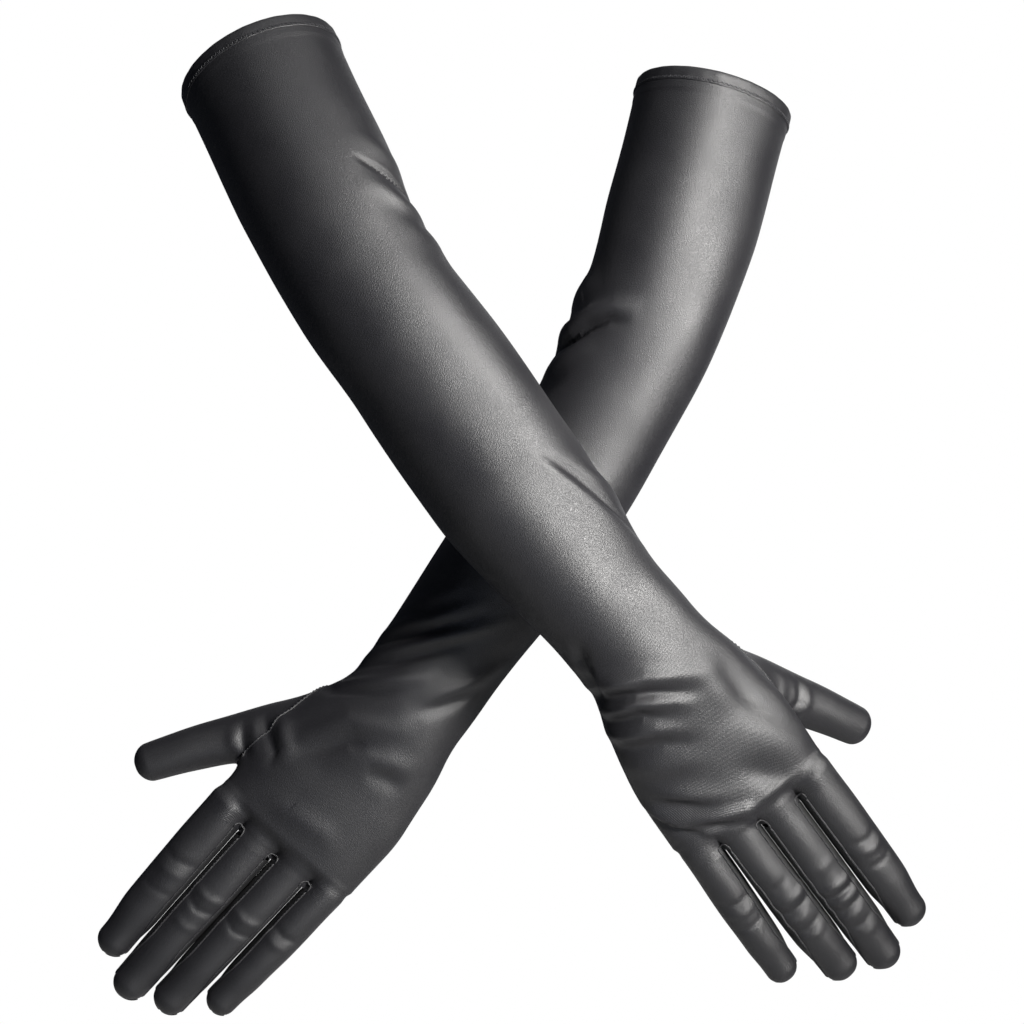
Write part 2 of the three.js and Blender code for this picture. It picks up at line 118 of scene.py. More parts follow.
# The spine is the line through each sleeve, from the hem to the wrist. A fold is a line of
# (distance from the hem, share of the way from the middle of the back to the edge on the thumb's
# side), its height and width. A share past 1 lies on the palm's side of that edge.
GLOVES = {
    "right": {
        "side": 1,
        "spine": [
            (-111, -2, 7.5), (-87, -22, -42), (-60, -37, -97), (-27, -38.5, -141.6),
            (13.6, -38.5, -200.2), (50, -38.5, -246), (77, -38.5, -278),
        ],
        "forearm": 39,
        "hand_angle": 34.5,
        "hand_pitch": 10,
        "splay": (2.2, 1.9, 2.8, -0.4),
        "curl": 4,
        "thumb": ((20, 17, 9), (56, 43, 26), (108, 70, 46)),
        "folds": [
            ([(78, 0.54), (85, 0.71), (91, 0.86), (98, 0.98), (106, 1.15)], -2.0, 1.9),
            ([(88, 0.50), (97, 0.74), (106, 0.90), (116, 1.00), (126, 1.12)], 1.7, 5.5),
            ([(64, 0.66), (74, 0.84), (82, 0.97), (90, 1.10)], 1.2, 7.0),
            ([(112, 0.70), (122, 0.90), (134, 1.00), (146, 1.10)], 1.6, 9.0),
            ([(236, 0.42), (243, 0.55), (260, 0.72), (281, 0.88), (298, 0.98), (308, 1.05)], -1.9, 3.2),
            ([(230, 0.30), (250, 0.52), (270, 0.70), (290, 0.84), (308, 0.92)], 1.0, 6.5),
            ([(246, 0.78), (266, 0.92), (284, 1.02), (300, 1.10)], 1.5, 6.5),
            ([(320, -0.60), (330, -0.84), (345, -0.92), (356, -1.05)], -2.8, 4.2),
            ([(322, -0.98), (336, -0.86), (346, -0.60), (356, -0.26)], 1.5, 4.0),
            ([(337, -1.10), (342, -0.98), (347, -0.60), (352, -0.23), (366, 0.45), (372, 0.60)], 1.9, 3.8),
            ([(345, -1.10), (350, -0.97), (354, -0.60), (360, -0.20), (374, 0.40)], -1.7, 2.8),
            ([(350, -1.10), (355, -0.97), (359, -0.50), (368, -0.08), (378, 0.20)], 1.8, 3.2),
            ([(357, -1.10), (362, -0.97), (366, -0.52), (376, -0.08)], -1.5, 2.6),
            ([(366, -1.10), (370, -0.88), (375, -0.45), (386, 0.00)], 1.7, 3.4),
            ([(374, -1.10), (378, -0.88), (383, -0.45), (394, 0.02)], -1.2, 3.2),
            ([(384, -1.05), (389, -0.80), (396, -0.40), (406, 0.05)], 1.1, 5.0),
            ([(402, -1.00), (412, -0.91), (426, -0.66), (440, -0.47)], 1.7, 3.4),
            ([(409, -1.02), (419, -0.93), (432, -0.70), (444, -0.52)], -1.4, 2.6),
            ([(416, -0.75), (423, -0.61), (429, -0.36), (434, -0.10), (448, 0.03)], 1.9, 3.4),
            ([(423, -0.74), (430, -0.60), (436, -0.36), (442, -0.12)], -1.7, 3.0),
            ([(398, -0.92), (403, -0.80), (412, -0.52), (420, -0.30), (429, 0.05)], 1.4, 4.5),
            ([(406, -0.90), (411, -0.76), (420, -0.46), (427, -0.22)], -1.3, 3.4),
            ([(408, 0.10), (417, 0.22), (432, 0.50), (446, 0.58)], -1.6, 6.0),
            ([(388, 0.30), (404, 0.50), (424, 0.78), (440, 0.90)], 1.1, 8.0),
            ([(360, 0.78), (376, 0.70), (396, 0.72), (412, 0.84)], -1.1, 5.0),
            ([(352, 0.55), (372, 0.45), (394, 0.48)], 0.9, 6.0),
        ],
    },
    "left": {
        "side": -1,
        "spine": [
            (117, 60, 3), (103, 49, -49), (84, 38.5, -108), (63.4, 38.5, -152),
            (31, 38.5, -207), (-8, 36, -263), (-42.4, 32, -310),
        ],
        "forearm": 35.5,
        "hand_angle": 42,
        "hand_pitch": -2,
        "splay": (-1.1, 0, 1.2, 1.8),
        "curl": 2,
        "thumb": ((24, 20, 7), (62, 53, 12), (113, 82, 14)),
        "folds": [
            ([(160, 1.20), (152, 1.04), (143, 0.92), (134, 0.78), (127, 0.54), (123, 0.14)], 3.0, 5.0),
            ([(167, 1.16), (160, 1.00), (150, 0.88), (141, 0.74), (134, 0.54), (130, 0.22)], -3.4, 2.7),
            ([(174, 1.04), (166, 0.92), (156, 0.76), (146, 0.54)], 1.5, 4.6),
            ([(112, 0.84), (120, 0.98), (132, 1.06), (142, 1.12)], 2.2, 9.0),
            ([(188, 1.04), (178, 0.90), (166, 0.70)], -1.0, 5.0),
            ([(352, 1.10), (346, 0.96), (331, 0.58), (312, 0.07), (291, -0.41), (282, -0.60)], 2.0, 3.8),
            ([(359, 1.10), (353, 0.96), (339, 0.60), (321, 0.12), (304, -0.28)], -1.7, 2.9),
            ([(336, 1.10), (330, 0.96), (311, 0.46), (294, 0.09), (284, -0.10)], 1.8, 3.8),
            ([(343, 1.10), (337, 0.96), (320, 0.50), (303, 0.12)], -1.5, 2.8),
            ([(371, 1.08), (366, 0.92), (351, 0.54), (337, 0.09), (328, -0.12)], 1.8, 3.6),
            ([(378, 1.08), (373, 0.92), (359, 0.56), (346, 0.14)], -1.4, 3.0),
            ([(352, 0.02), (344, -0.14), (329, -0.51), (311, -0.80), (302, -0.95)], 1.5, 4.6),
            ([(360, -0.02), (352, -0.20), (338, -0.56), (321, -0.86)], -1.1, 3.8),
            ([(316, 0.92), (300, 0.60), (284, 0.30)], 1.0, 4.6),
            ([(406, 0.86), (399, 0.74), (377, 0.44), (363, -0.14), (358, -0.34)], 1.5, 5.0),
            ([(412, 0.74), (404, 0.60), (386, 0.30), (374, -0.20)], -1.3, 4.0),
            ([(404, 0.40), (397, 0.24), (384, -0.05), (375, -0.58), (372, -0.76)], 1.2, 6.0),
            ([(392, -0.10), (386, -0.40), (383, -0.72)], -0.9, 5.0),
            ([(398, 1.10), (402, 0.92), (408, 0.74), (418, 0.60)], 1.5, 3.8),
            ([(405, 1.14), (409, 0.98), (415, 0.82), (424, 0.70)], -1.3, 2.8),
            ([(432, -0.60), (428, -0.20), (432, 0.20), (430, 0.55)], 0.8, 6.0),
        ],
    },
}

# ---- places on a limb ----


def unit(vectors):
    return vectors / np.linalg.norm(vectors, axis=-1, keepdims=True)


def smooth_table(values, reach):
    """A table without its corners: each value is the mean over reach millimetres."""
    count = int(reach / STEP) | 1
    padded = np.pad(values, (count // 2, count // 2), mode="edge")
    return np.convolve(padded, np.ones(count) / count, mode="valid")


def run_along(points):
    """How far along a line each of its points is."""
    return np.concatenate([[0], np.cumsum(np.linalg.norm(np.diff(points, axis=0), axis=1))])


def smooth_line(knots):
    """Points close together on the smooth line through the knots."""
    knots = np.array(knots, float)
    knots = np.vstack([2 * knots[0] - knots[1], knots, 2 * knots[-1] - knots[-2]])
    t = np.linspace(0, 1, 200, endpoint=False)[:, None]
    stretches = []
    for a, b, c, d in zip(knots, knots[1:], knots[2:], knots[3:]):
        before, here, after = (math.sqrt(np.linalg.norm(q - p)) for p, q in ((a, b), (b, c), (c, d)))
        leave = ((b - a) / before - (c - a) / (before + here) + (c - b) / here) * here
        arrive = ((c - b) / here - (d - b) / (here + after) + (d - c) / after) * here
        square = 3 * (c - b) - 2 * leave - arrive
        cube = 2 * (b - c) + leave + arrive
        stretches.append(b + leave * t + square * t**2 + cube * t**3)
    return np.vstack([*stretches, knots[-2:-1]])


def make_limb(points, rows, side, cap, reach=14, closed=True):
    """A line with its directions and the cloth's half width and depth along it."""
    run = run_along(points)
    distance = np.arange(0, run[-1], STEP)
    centre = np.stack([np.interp(distance, run, points[:, n]) for n in range(3)], 1)
    along = unit(np.gradient(centre, axis=0))
    palmward = np.array([0.0, 1.0, 0.0])
    across = side * unit(np.cross(along, palmward))
    deep = unit(palmward - along * along[:, 1:2])
    rows = np.array(rows, float)
    width = smooth_table(np.interp(distance, rows[:, 0], rows[:, 1]), reach)
    depth = smooth_table(np.interp(distance, rows[:, 0], rows[:, 2]), reach)
    return {
        "length": distance[-1], "centre": centre, "along": along, "across": across,
        "deep": deep, "width": width, "depth": depth, "cap": cap, "closed": float(closed),
    }


def read(limb, name, distance):
    table = limb[name]
    place = np.clip(distance, 0, limb["length"]) / STEP
    k = np.minimum(place.astype(int), len(table) - 2)
    t = place - k
    if table.ndim == 2:
        t = t[:, None]
    return table[k] * (1 - t) + table[k + 1] * t


def centre_at(limb, distance):
    beyond = distance - np.clip(distance, 0, limb["length"])
    return read(limb, "centre", distance) + beyond[:, None] * read(limb, "along", distance)


def nearest_distance(limb, points):
    """How far along the limb each point is."""
    coarse = limb["centre"][::16]
    blocks = np.array_split(points, len(points) // 8000 + 1)
    near = np.concatenate([((b[:, None] - coarse) ** 2).sum(2).argmin(1) for b in blocks])
    distance = near * 16 * STEP
    for _ in range(3):
        distance = distance + ((points - centre_at(limb, distance)) * read(limb, "along", distance)).sum(1)
    return distance


def tube_field(limb, points, distance=None):
    """Signed distance to the cloth round a limb, the distance along it, and the angle round it:
    0 at the middle of the back, 90 degrees on the thumb's side."""
    if distance is None:
        distance = nearest_distance(limb, points)
    else:
        shift = (points - centre_at(limb, distance)) * read(limb, "along", distance)
        distance = distance + shift.sum(1)
    offset = points - centre_at(limb, distance)
    width = read(limb, "width", distance)
    depth = read(limb, "depth", distance)
    x = (offset * read(limb, "across", distance)).sum(1)
    y = (offset * read(limb, "deep", distance)).sum(1)
    z = np.maximum(0, distance - (limb["length"] - limb["cap"])) / limb["cap"]
    z = np.maximum(z, np.maximum(0, START_CAP - distance) / START_CAP * limb["closed"])
    scaled = np.sqrt((x / width) ** 2 + (y / depth) ** 2 + z**2)
    slope = np.sqrt((x / width**2) ** 2 + (y / depth**2) ** 2 + (z / limb["cap"]) ** 2)
    gap = scaled * (scaled - 1) / np.maximum(slope, 1e-6)
    return gap, distance, np.arctan2(x / width, -y / depth)


def join_softly(a, b, reach):
    h = np.maximum(reach - np.abs(a - b), 0) / reach
    return np.minimum(a, b) - h * h * reach / 4


# ---- folds ----


def stroke(distance, round_it, line, height, width):
    """The height that one fold adds at each place on the cloth."""
    spots = np.array(line, float)
    low, high = spots.min(0) - 2.6 * width, spots.max(0) + 2.6 * width
    near = (distance > low[0]) & (distance < high[0]) & (round_it > low[1]) & (round_it < high[1])
    added = np.zeros(len(distance))
    if not near.any():
        return added
    distance, round_it = distance[near], round_it[near]
    lengths = np.linalg.norm(np.diff(spots, axis=0), axis=1)
    total = lengths.sum()
    best = np.full(len(distance), 1e9)
    share = np.zeros(len(distance))
    run = 0.0
    for start, end, length in zip(spots[:-1], spots[1:], lengths):
        step = (end - start) / length
        dx = distance - start[0]
        dy = round_it - start[1]
        t = np.clip(dx * step[0] + dy * step[1], 0, length)
        gap = np.hypot(dx - step[0] * t, dy - step[1] * t)
        closer = gap < best
        best = np.where(closer, gap, best)
        share = np.where(closer, (run + t) / total, share)
        run += length
    fade = np.sin(math.pi * share) ** 1.5
    added[near] = height * fade * np.exp(-((best / width) ** 2))
    return added


def angle_of_share(share):
    edge = min(abs(share), 1)
    return math.copysign(math.asin(edge) + (abs(share) - edge) * math.pi / 2, share)


def sleeve_relief(glove, distance, angle):
    """Folds and soft unevenness of the sleeve and palm."""
    limb = glove["limb"]
    half_along = 0.5 * (limb["width"] + limb["depth"])
    places = np.arange(len(half_along)) * STEP
    half = 0.5 * (read(limb, "width", distance) + read(limb, "depth", distance))
    round_it = angle * half
    height = 0.22 * np.sin(distance / 23.0 + 1.7 * np.sin(angle) + glove["side"])
    height += 0.16 * np.sin(distance / 11.0 - 2.3 * np.cos(angle) + 2.0)
    for line, rise, width in glove["folds"]:
        near = np.array([[d, angle_of_share(v)] for d, v in line])
        near[:, 1] *= np.interp(near[:, 0], places, half_along)
        height += FOLD_STRENGTH * stroke(distance, round_it, near, rise, width)
    past = np.clip((distance - TURNED_TO) / 0.5, -40, 40)
    return height + TURNED_UNDER / (1 + np.exp(past))


def finger_relief(finger, distance, angle):
    """Transverse wrinkles over a finger's joints."""
    height = 0.12 * np.sin(distance / 6.5 + 3 * np.sin(angle + finger["phase"]))
    for line, rise, width in finger["folds"]:
        spots = [(d, math.radians(a) * FINGER_HALF) for d, a in line]
        height += stroke(distance, angle * FINGER_HALF, spots, rise, width)
    return height


FINGER_FOLDS = {
    "right_middle": [
        ([(52, -85), (57, -30), (58, 30), (54, 85)], 0.8, 2.2),
        ([(57, -85), (62, -25), (62, 35), (58, 85)], -0.8, 1.6),
        ([(61, -80), (66, -20), (66, 35), (62, 80)], 0.7, 1.9),
        ([(66, -80), (71, -20), (70, 35), (66, 80)], -0.7, 1.7),
        ([(72, -75), (76, -10), (74, 50)], 0.6, 2.2), ([(79, -70), (82, 0), (79, 60)], -0.6, 2.0),
        ([(42, -70), (46, 0), (44, 70)], 0.5, 3.0), ([(86, -60), (88, 0), (85, 60)], 0.4, 2.4),
    ],
    "right_ring": [
        ([(46, -85), (52, -25), (52, 30), (48, 85)], 0.9, 2.6),
        ([(52, -85), (58, -20), (57, 30), (53, 85)], -0.8, 1.9),
        ([(58, -80), (64, -15), (62, 40)], 0.7, 2.4), ([(66, -80), (70, -10), (67, 60)], -0.7, 1.9),
        ([(72, -75), (75, 0), (71, 60)], 0.5, 2.4), ([(38, -75), (43, -10), (41, 50)], -0.6, 2.6),
    ],
    "right_little": [
        ([(34, -80), (39, 0), (37, 80)], -0.6, 2.2), ([(41, -80), (45, 0), (43, 80)], 0.6, 2.4),
        ([(50, -75), (53, 0), (50, 70)], -0.5, 2.0),
    ],
    "right_index": [
        ([(44, -60), (49, 20), (47, 85)], -0.6, 2.2), ([(51, -60), (55, 20), (53, 85)], 0.6, 2.4),
        ([(60, -60), (63, 20), (60, 80)], -0.5, 2.0),
    ],
    "left_index": [
        ([(40, -60), (45, 20), (43, 85)], -0.6, 2.4), ([(48, -60), (52, 20), (49, 80)], 0.5, 2.6),
        ([(60, -60), (63, 20), (61, 70)], -0.4, 2.2),
    ],
    "left_middle": [
        ([(42, -80), (47, 0), (44, 80)], 0.7, 2.6), ([(49, -75), (54, 0), (50, 75)], -0.7, 2.0),
        ([(62, -70), (65, 0), (62, 70)], 0.4, 2.4),
    ],
    "left_ring": [
        ([(40, -80), (45, 0), (42, 80)], 0.7, 2.6), ([(47, -75), (52, 0), (48, 75)], -0.6, 2.0),
    ],
    "left_little": [([(34, -75), (38, 0), (36, 75)], -0.6, 2.2), ([(41, -75), (44, 0), (42, 75)], 0.5, 2.4)],
}
THUMB_FOLDS = {
    "right": [
        ([(50, -80), (56, 0), (52, 80)], -0.8, 2.2), ([(57, -80), (62, 0), (58, 80)], 0.7, 2.6),
        ([(40, -70), (45, 0), (42, 70)], 0.6, 3.0),
    ],
    "left": [
        ([(30, -85), (37, -25), (36, 60)], -1.1, 2.6), ([(37, -85), (44, -20), (42, 60)], 1.0, 2.6),
        ([(43, -85), (50, -15), (48, 60)], -1.0, 2.4), ([(50, -80), (56, -10), (53, 60)], 0.6, 3.0),
    ],
}

# ---- one glove's limbs ----


def hand_directions(glove):
    angle = math.radians(glove["hand_angle"])
    pitch = math.radians(glove["hand_pitch"])
    side = glove["side"]
    level = math.cos(pitch)
    along = np.array([side * math.sin(angle) * level, math.sin(pitch), -math.cos(angle) * level])
    across = side * unit(np.cross(along, (0, 1, 0)))
    deep = unit(np.array([0, 1.0, 0]) - along * along[1])
    return along, across, deep


def joint_place(name):
    found = next(j for j in frame["joints"] if j["name"] == name)
    return np.array(found["pos_m"]) / MM


def make_sleeve(name, glove):
    wrist_place = joint_place(f"{name}_wrist")
    along = hand_directions(glove)[0]
    palm = [wrist_place + along * PALM_END * share for share in (0.5, 1)]
    points = smooth_line([*glove["spine"], *palm])
    run = run_along(points)
    for joint in ("elbow", "wrist"):
        gaps = np.linalg.norm(points - joint_place(f"{name}_{joint}"), axis=1)
        glove[joint] = run[gaps.argmin()]
    elbow, wrist, fore = glove["elbow"], glove["wrist"], glove["wrist"] - glove["elbow"]
    full = glove["forearm"]
    rows = [
        (0, 40.2, 37.2), (0.6 * elbow, 39.6, 37), (elbow, 37, 34.4),
        (elbow + 0.27 * fore, full, full * 0.93), (elbow + 0.55 * fore, full, full * 0.93),
        (elbow + 0.86 * fore, 31.5, 25.9), (wrist, 31.5, 24), (wrist + 18, 37, 21.1),
        (wrist + 52, 42.5, 17.4), (wrist + PALM_END, 42.5, 12.5),
    ]
    return make_limb(points, rows, glove["side"], PALM_CAP, closed=False)


def make_finger_limb(name, glove, k):
    finger, _, _, length, base, tip, strips = FINGERS[k]
    along, across, deep = hand_directions(glove)
    splay = math.radians(glove["splay"][k])
    curl = math.radians(glove["curl"])
    level = math.cos(curl)
    heading = along * math.cos(splay) * level + across * math.sin(splay) * level + deep * math.sin(curl)
    pivot = joint_place(f"{name}_{finger}_bend")
    start = pivot - heading * INSIDE_PALM
    total = INSIDE_PALM + length
    points = start + heading * total * np.linspace(0, 1, 9)[:, None]
    rows = [
        (0, base), (INSIDE_PALM + 0.4 * length, base), (INSIDE_PALM + 0.68 * length, base * 0.93),
        (total - 14, tip * 1.04), (total, tip),
    ]
    rows = [(d, w, w * FINGER_ROUNDNESS) for d, w in rows]
    limb = make_limb(points, rows, glove["side"], 0.92 * tip, 6)
    return {
        "name": finger, "limb": limb, "strips": strips, "phase": k * 1.3, "base": base,
        "pivot": pivot, "heading": heading,
        "folds": FINGER_FOLDS[f"{name}_{finger}"],
    }


def make_thumb_limb(name, glove):
    along, across, deep = hand_directions(glove)
    wrist = joint_place(f"{name}_wrist")
    a, b, c = (wrist + along * u + across * v + deep * w for u, v, w in glove["thumb"])
    t = np.linspace(0, 1, 400)[:, None]
    curve = a * (1 - t) ** 2 + 2 * b * t * (1 - t) + c * t**2
    length = run_along(curve)[-1]
    rows = [(0, 15), (length * 0.3, 13.4), (length * 0.55, 11.8), (length - 12, 10.2), (length, 9.2)]
    rows = [(d, w, w * THUMB_ROUNDNESS) for d, w in rows]
    limb = make_limb(curve, rows, glove["side"], 8, 6)
    return {"name": "thumb", "limb": limb, "folds": THUMB_FOLDS[name], "phase": 0.4}


# ---- the cloth's surface ----


def palm_field(glove, points, distance=None):
    gap, distance, angle = tube_field(glove["limb"], points, distance)
    return gap - sleeve_relief(glove, distance, angle)


def finger_field(finger, points, distance=None):
    gap, distance, angle = tube_field(finger["limb"], points, distance)
    gap = gap - finger_relief(finger, distance, angle)
    for place, towards in finger.get("pressed", ()):
        gap = -join_softly(-gap, -((points - place) @ towards + FINGER_GAP / 2), PRESS)
    return gap


def press_together(fingers):
    """Two fingers side by side are flat where they touch."""
    for finger in fingers:
        finger["pressed"] = []
    for near, far in zip(fingers[:-1], fingers[1:]):
        place = (near["pivot"] + far["pivot"]) / 2
        heading = unit(near["heading"] + far["heading"])
        towards = far["pivot"] - near["pivot"]
        towards = unit(towards - heading * (towards @ heading))
        near["pressed"].append((place, towards))
        far["pressed"].append((place, -towards))


def hand_surface(glove, points):
    """The field of the whole hand, for spots that stay near these points."""
    palm_at = nearest_distance(glove["limb"], points)
    nearby = []
    for finger in (*glove["fingers"], glove["thumb_limb"]):
        at = nearest_distance(finger["limb"], points)
        gap = np.linalg.norm(points - centre_at(finger["limb"], at), axis=1)
        chosen = np.nonzero((at > BEHIND_FINGER) & (gap < NEAR_FINGER))[0]
        nearby.append((finger, chosen, at[chosen]))

    def field(spots):
        palm = palm_field(glove, spots, palm_at)
        gap = palm.copy()
        for finger, chosen, at in nearby[:-1]:
            joined = join_softly(palm[chosen], finger_field(finger, spots[chosen], at), WEB)
            gap[chosen] = np.minimum(gap[chosen], joined)
        thumb, chosen, at = nearby[-1]
        gap[chosen] = join_softly(gap[chosen], finger_field(thumb, spots[chosen], at), THUMB_WEB)
        return gap

    return field


def finger_surface(glove, finger, points):
    """The field of one finger and the palm, for spots that stay near these points."""
    palm_at = nearest_distance(glove["limb"], points)
    at = nearest_distance(finger["limb"], points)
    return lambda spots: join_softly(palm_field(glove, spots, palm_at), finger_field(finger, spots, at), WEB)


def slope_of(field, points, reach=0.3):
    steps = np.eye(3) * reach
    return np.stack([(field(points + s) - field(points - s)) / (2 * reach) for s in steps], 1)


def lay_on(field, points, rounds=2):
    """Moves points onto the cloth's surface, and gives its direction there."""
    for _ in range(rounds):
        slope = slope_of(field, points)
        size = np.maximum((slope**2).sum(1), 0.05)
        move = field(points)[:, None] * slope / size[:, None]
        far = np.maximum(np.linalg.norm(move, axis=1, keepdims=True) / 4, 1)
        points = points + move * -1 / far
    return points, unit(slope_of(field, points) + 1e-9)


# ---- meshes ----


def make_object(name, points, faces, smooth=True):
    """A mesh from points in millimetres."""
    mesh = bpy.data.meshes.new(name)
    mesh.from_pydata((np.asarray(points) * MM).tolist(), [], [tuple(f) for f in faces])
    mesh.update()
    piece = bpy.data.objects.new(name, mesh)
    bpy.context.scene.collection.objects.link(piece)
    mesh.polygons.foreach_set("use_smooth", [smooth] * len(mesh.polygons))
    return piece


def pick_only(piece):
    bpy.ops.object.select_all(action="DESELECT")
    piece.select_set(True)
    bpy.context.view_layer.objects.active = piece


def apply_modifier(piece, kind, **settings):
    pick_only(piece)
    modifier = piece.modifiers.new(kind.lower(), kind)
    for key, value in settings.items():
        setattr(modifier, key, value)
    bpy.ops.object.modifier_apply(modifier=modifier.name)


def set_grain(piece, distance, round_it, girth):
    """The knit's own coordinates, in metres: round the limb and along it."""
    mesh = piece.data
    corners = np.empty(len(mesh.loops), int)
    mesh.loops.foreach_get("vertex_index", corners)
    u = round_it[corners]
    v = distance[corners]
    turn = girth[corners]
    starts = np.empty(len(mesh.polygons), int)
    counts = np.empty(len(mesh.polygons), int)
    mesh.polygons.foreach_get("loop_start", starts)
    mesh.polygons.foreach_get("loop_total", counts)
    first = np.repeat(u[starts], counts)
    order = np.argsort(np.repeat(starts, counts), kind="stable")
    u = u[order]
    u = u + turn * np.round((first - u) / np.maximum(turn, 1e-6))
    layer = mesh.uv_layers.new(name="knit")
    layer.data.foreach_set("uv", (np.stack([u, v], 1) * MM).astype(np.float32).ravel())


def set_directions(piece, normals):
    """Shading that runs on from one piece of cloth to the next."""
    piece.data.normals_split_custom_set_from_vertices([tuple(n) for n in normals])


def face_outwards(piece):
    edit = bmesh.new()
    edit.from_mesh(piece.data)
    bmesh.ops.recalc_face_normals(edit, faces=edit.faces)
    edit.to_mesh(piece.data)
    edit.free()


def give_wall(piece, normals, wall):
    """Cloth has a thickness, which shows at an open hem. The wall lies inside the outer face."""
    count = len(piece.data.vertices)
    apply_modifier(piece, "SOLIDIFY", thickness=wall * MM, offset=-1, use_rim=True)
    everything = np.vstack([normals, -normals])
    rest = len(piece.data.vertices) - 2 * count
    if rest == 0:
        set_directions(piece, everything)


def grid_faces(rows, columns, closed=True):
    """Quads between the rows of a grid, facing outwards from a limb."""
    k = np.arange(rows - 1)[:, None] * columns
    span = columns if closed else columns - 1
    j = np.arange(span)[None, :]
    right = (j + 1) % columns
    return np.stack([k + j, k + right, k + right + columns, k + j + columns], 2).reshape(-1, 4)


def outwards(piece_points, faces, normals):
    """The same faces, turned round if they face into the cloth."""
    a, b, c = (piece_points[faces[:, n]] for n in range(3))
    facing = (np.cross(b - a, c - a) * normals[faces[:, 0]]).sum()
    return faces if facing > 0 else faces[:, ::-1]


def limb_points(limb, distance, angle):
    """Points on a limb's plain tube, by distance and angle."""
    width = read(limb, "width", distance)
    depth = read(limb, "depth", distance)
    beyond = np.clip((distance - (limb["length"] - limb["cap"])) / limb["cap"], 0, 1)
    shrink = np.sqrt(np.maximum(1 - beyond**2, 0))
    return (
        centre_at(limb, distance)
        + read(limb, "across", distance) * (width * shrink * np.sin(angle))[:, None]
        - read(limb, "deep", distance) * (depth * shrink * np.cos(angle))[:, None]
    )


def girth_of(limb, distance):
    return math.pi * (read(limb, "width", distance) + read(limb, "depth", distance))


# ---- cloth pieces ----


def make_sleeve_cloth(name, glove):
    """The sleeve from the hem to above the wrist, as one tube of cloth."""
    limb = glove["limb"]
    rows, columns = 232, 200
    distances = np.linspace(HEM_DEPTH - 0.2, UPPER_END, rows)
    angles = np.linspace(-math.pi, math.pi, columns, endpoint=False)
    d = np.repeat(distances, columns)
    a = np.tile(angles, rows)
    start = limb_points(limb, d, a)
    field = lambda points: palm_field(glove, points, d)
    points, normals = lay_on(field, start)
    faces = outwards(points, grid_faces(rows, columns), normals)
    piece = make_object(f"{name}_sleeve_cloth", points, faces)
    girth = girth_of(limb, d)
    set_grain(piece, d, a * girth / (2 * math.pi), girth)
    give_wall(piece, normals, SLEEVE_WALL)
    return piece


def slimmer(limb, less):
    return {**limb, "width": limb["width"] - less}


def closed_tube(limb, start, end, sides=48, step=2.0, cap_end=False):
    """A closed bar along a limb, used to start the hand's cloth."""
    distances = np.arange(start, end, step)
    if cap_end:
        tip = limb["length"] - limb["cap"]
        body = np.arange(start, tip, step)
        distances = np.concatenate([body, tip + limb["cap"] * np.sin(np.linspace(0, 1.5, 9))])
    angles = np.linspace(-math.pi, math.pi, sides, endpoint=False)
    d, a = np.meshgrid(distances, angles, indexing="ij")
    points = limb_points(limb, d.ravel(), a.ravel())
    faces = [tuple(f) for f in grid_faces(len(distances), sides)]
    faces.append(tuple(range(sides)))
    faces.append(tuple(reversed(range(len(points) - sides, len(points)))))
    return points, faces


def join_tubes(name, tubes):
    points, faces, count = [], [], 0
    for tube_points, tube_faces in tubes:
        points.append(tube_points)
        faces += [tuple(k + count for k in face) for face in tube_faces]
        count += len(tube_points)
    piece = make_object(name, np.vstack(points), faces)
    face_outwards(piece)
    return piece


def read_points(piece):
    count = len(piece.data.vertices)
    flat = np.empty(count * 3)
    piece.data.vertices.foreach_get("co", flat)
    return flat.reshape(-1, 3) / MM


def write_points(piece, points):
    piece.data.vertices.foreach_set("co", (points * MM).ravel())
    piece.data.update()


def start_hand(name, glove):
    """The palm, the stubs of the fingers and the thumb in one skin, laid on the surface."""
    tubes = [closed_tube(glove["limb"], UPPER_END - 12, glove["limb"]["length"], 96, 3.0, cap_end=True)]
    for finger in glove["fingers"]:
        tubes.append(closed_tube(slimmer(finger["limb"], 0.8), 2, INSIDE_PALM + 5))
    tubes.append(closed_tube(glove["thumb_limb"]["limb"], 2, 0, cap_end=True))
    skin = join_tubes(f"{name}_hand_cloth", tubes)
    apply_modifier(skin, "REMESH", mode="VOXEL", voxel_size=SKIN_GRAIN * MM, use_smooth_shade=True)
    points = read_points(skin)
    for _ in range(2):
        points, normals = lay_on(hand_surface(glove, points), points, 1)
        write_points(skin, points)
        apply_modifier(skin, "SMOOTH", factor=0.5, iterations=2)
        points = read_points(skin)
    points, normals = lay_on(hand_surface(glove, points), points, 2)
    write_points(skin, points)
    direction = skin.data.attributes.new("direction", "FLOAT_VECTOR", "POINT")
    direction.data.foreach_set("vector", normals.astype(np.float32).ravel())
    return skin


def cut_away(edit, chosen, place, facing):
    """Cuts the chosen faces at a plane and takes away what lies ahead of it."""
    edges = {e for f in chosen for e in f.edges}
    corners = {v for f in chosen for v in f.verts}
    plane = {"plane_co": Vector(place * MM), "plane_no": Vector(facing)}
    geometry = [*chosen, *edges, *corners]
    bmesh.ops.bisect_plane(edit, geom=geometry, clear_outer=True, dist=1e-6, **plane)


